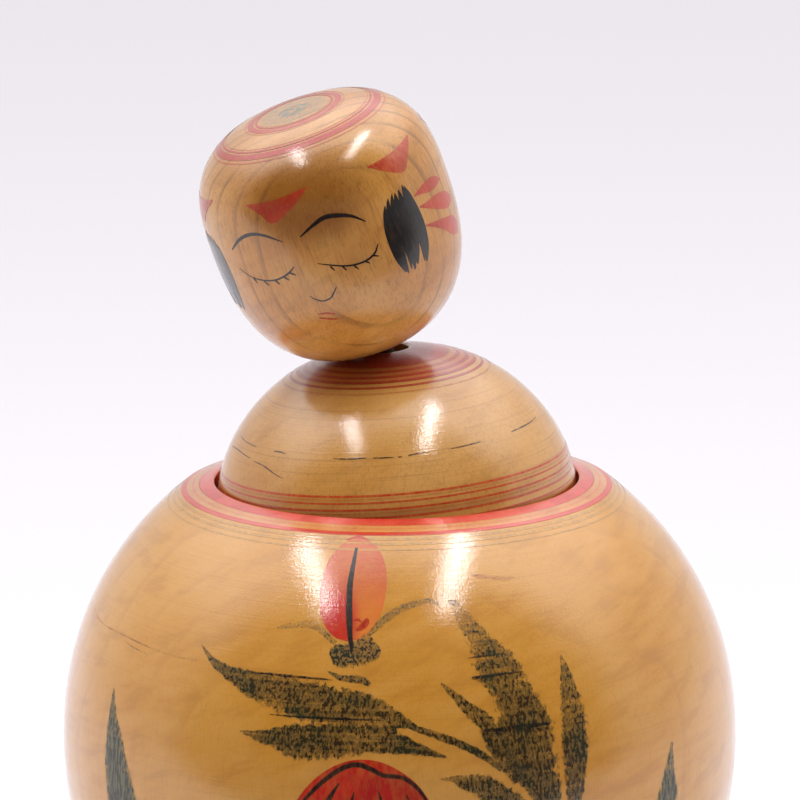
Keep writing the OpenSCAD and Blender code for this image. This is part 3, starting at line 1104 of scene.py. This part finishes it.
# dark blades at the sides, running down beside the flower
BLADES = {
    "left": ([(-58.4, 70.8), (-58.3, 66.8), (-58.5, 61.9), (-58.3, 57), (-57.5, 49.8), (-56.5, 42),
              (-54, 32), (-50, 24), (-46, 20)],
             [(-58, 70.8), (-55.8, 67), (-53.2, 63), (-50.9, 58.4), (-48.4, 52.1), (-46, 45),
              (-44.2, 36), (-44.2, 28), (-45.6, 20.2)]),
    "right": ([(51.1, 61.2), (48.6, 56.1), (46.4, 51.3), (43.6, 44), (41.4, 36), (41, 28),
               (42, 20.2)],
              [(51.7, 61.2), (51.9, 56.2), (52.6, 50.4), (52.2, 42), (50, 32), (46, 24),
               (42.6, 20)]),
}
for side, lines in BLADES.items():
    film("blade_" + side, BOWL, [field(BOWL, *lines, 70, 12)], "leaf_teal")


# ---- bowl: peony

PEONY_TOP = [(-18.6, 54), (-15.6, 59.4), (-12.2, 63), (-8.4, 65), (-4.4, 65.2), (-1, 63.9), (2.4, 61.2),
    (4.8, 57.4), (6, 54)]
PEONY_LOW = [(-18.7, 53.4), (-19, 48), (-15.5, 43.6), (-11, 42), (-6.4, 41), (-1.6, 42), (3, 44),
    (6.4, 48.4), (6.1, 53.4)]
PEONY_FOLDS = [
    [(-17, 55.6, 0.2), (-13.4, 60.2, 0.42), (-9.8, 63.4, 0.48), (-7, 64.4, 0.5),
     (-4.6, 63.6, 0.46), (-2.6, 62.5, 0.42), (0.6, 62, 0.42), (3.2, 59.6, 0.36), (4.6, 56.6, 0.15)],
    [(-9.8, 61, 0.15), (-11.6, 57.8, 0.46), (-13.2, 54.2, 0.46), (-13.8, 50.4, 0.15)],
    [(-7.4, 59.4, 0.1), (-8, 56.6, 0.34), (-8.4, 53, 0.1)],
    [(-3.4, 59.6, 0.1), (-2.9, 56.2, 0.36), (-3.2, 52.8, 0.1)],
    [(1, 59, 0.1), (1.9, 55.4, 0.34), (1.8, 51.4, 0.1)],
    [(-16.6, 50, 0.1), (-11.6, 47.2, 0.36), (-6.4, 46.2, 0.4), (-1, 47.2, 0.36), (4.4, 50.2, 0.1)],
    [(-12, 46.6, 0.1), (-10.4, 43.6, 0.3), (-9.8, 42.8, 0.1)],
    [(-1.4, 46.6, 0.1), (-2.6, 43.8, 0.3), (-3.2, 42.8, 0.1)],
]
film("peony", BOWL, [field(BOWL, PEONY_LOW, PEONY_TOP, 48, 20)], "peony_red")
film("peony_folds", BOWL, [stroke(BOWL, f, 36, 3) for f in PEONY_FOLDS], "peony_ink", 2)

# a fine drying crack in the bowl
marks("bowl_hairline", [
    ([(-83, 80.7, 0.08), (-72.6, 79.8, 0.18), (-60.3, 80, 0.2), (-52, 79.7, 0.18), (-43.4, 79.4, 0.14),
      (-38, 79.6, 0.05)], 44, 2),
    ([(-59.4, 79.2, 0.05), (-56, 78.8, 0.14), (-51, 78.4, 0.05)], 20, 2),
], "bowl_hairline")

# a faint rubbed smear of the rim's red beside the bud
marks("bowl_smear", [
    ([(15.3, 95.3, 0.12), (17.8, 94.8, 0.62), (20.4, 94.5, 0.5), (23.2, 94, 0.66), (25.6, 94.1, 0.14)],
     24, 5),
], "smear_dry")


# ---- floor

FLOOR_HALF = 6.0
PAPER_TONES = ((219, 216, 220), (220, 217, 221))
FELT_TONES = ((18, 18, 18), (26, 25, 26))
CARD_NEAR = -0.2
CARD_FAR = -3.0
CARD_HALF = 2.5
CARD_LIFT = 0.002


def lay_flat(name, half, front, back, lift, material):
    """A rectangle lying level above the doll's foot."""
    z = cad_box[0].z + lift
    mesh = bpy.data.meshes.new(name)
    mesh.from_pydata([(-half, front, z), (half, front, z), (half, back, z), (-half, back, z)], [],
                     [(0, 1, 2, 3)])
    mesh.materials.append(material)
    obj = link(name, mesh)
    return obj


def matt_material(name, fine, tones, rough, depth, specular):
    """Paper or felt: no gloss coat, its tone hardly changing."""
    g = Graph(name, "bowl")
    speck = g.noise(fine, 2.0)
    g.finish(g.mix(g.span(speck, 0.3, 0.7), *tones), rough, speck, depth, 0.0, 0.5)
    g.shader.inputs["Specular IOR Level"].default_value = specular
    return g.material


# matt white paper, very slightly lilac
paper = matt_material("floor_paper", 0.4, PAPER_TONES, 0.9, 0.00001, 0.2)
lay_flat("floor", FLOOR_HALF, -FLOOR_HALF, FLOOR_HALF, 0.0, paper)

# a black card lying before the doll, seen only by its gloss, as when the table ends there
felt = matt_material("card_felt", 0.8, FELT_TONES, 1.0, 0.0001, 0.0)
card = lay_flat("card", CARD_HALF, CARD_FAR, CARD_NEAR, CARD_LIFT, felt)
card.visible_camera = False
card.visible_diffuse = False
card.visible_shadow = False


# ---- light

STRIP_BACK = 0.1  # y of the strips' rear ends
STRIP_HEIGHT = 1.1


def strip(name, x, width, power, front):
    """A long tube light overhead, running from front to back."""
    data = bpy.data.lights.new(name, "AREA")
    data.shape = "RECTANGLE"
    data.size = width
    data.size_y = STRIP_BACK - front
    data.energy = power
    data.color = (1.0, 0.99, 1.0)
    lamp = link(name, data)
    lamp.location = (x, (STRIP_BACK + front) / 2, STRIP_HEIGHT)
    lamp.visible_camera = False


strip("strip_left", -0.447, 0.052, 3.3, -0.55)
strip("strip_right", 0.298, 0.06, 4.2, -0.61)

WALL = 0.72  # brightness of the tent's sides
CEILING = 2.2
OPENING = 0.01  # share of it left in front
CEILING_RISE = (0.35, 0.75)  # upward parts of a direction between which sides turn to ceiling
FRONT_TURN = (-0.02, -0.38)  # the same for turning to the open front


def studio_world():
    """A white tent with a bright ceiling, open and dim towards the front."""
    world = bpy.data.worlds.new("tent")
    bpy.context.scene.world = world
    g = Nodes(world)
    out = g.nodes.new("ShaderNodeOutputWorld")
    back = g.nodes.new("ShaderNodeBackground")
    where = g.nodes.new("ShaderNodeTexCoord")
    y, z = g.split(where.outputs["Generated"])[1:]
    up = g.span(z, *CEILING_RISE, WALL, CEILING)
    front = g.span(y, *FRONT_TURN, 1.0, OPENING)
    g.put(back.inputs["Color"], (1.0, 0.985, 1.0, 1.0))
    g.put(back.inputs["Strength"], g.times(up, front))
    g.put(out.inputs["Surface"], back.outputs[0])


studio_world()
bpy.context.scene.view_settings.view_transform = "Standard"


# ---- camera

AIM = Vector((0.00085, 0.0, 0.11803))
CAMERA_DISTANCE = 0.9
CAMERA_ELEVATION = math.radians(11.965)
CAMERA_ROLL = math.radians(0.715)
LENS = 211.95

camera_data = bpy.data.cameras.new("camera")
camera_data.lens = LENS
camera_data.sensor_width = 36.0
camera_data.clip_start = 0.01
camera_data.clip_end = 50.0
camera = link("camera", camera_data)
away = Vector((0, -math.cos(CAMERA_ELEVATION), math.sin(CAMERA_ELEVATION)))
look = Matrix.Rotation(math.pi / 2 - CAMERA_ELEVATION, 4, "X")
roll = Matrix.Rotation(-CAMERA_ROLL, 4, "Z")
camera.matrix_world = Matrix.Translation(AIM + away * CAMERA_DISTANCE) @ look @ roll
bpy.context.scene.camera = camera
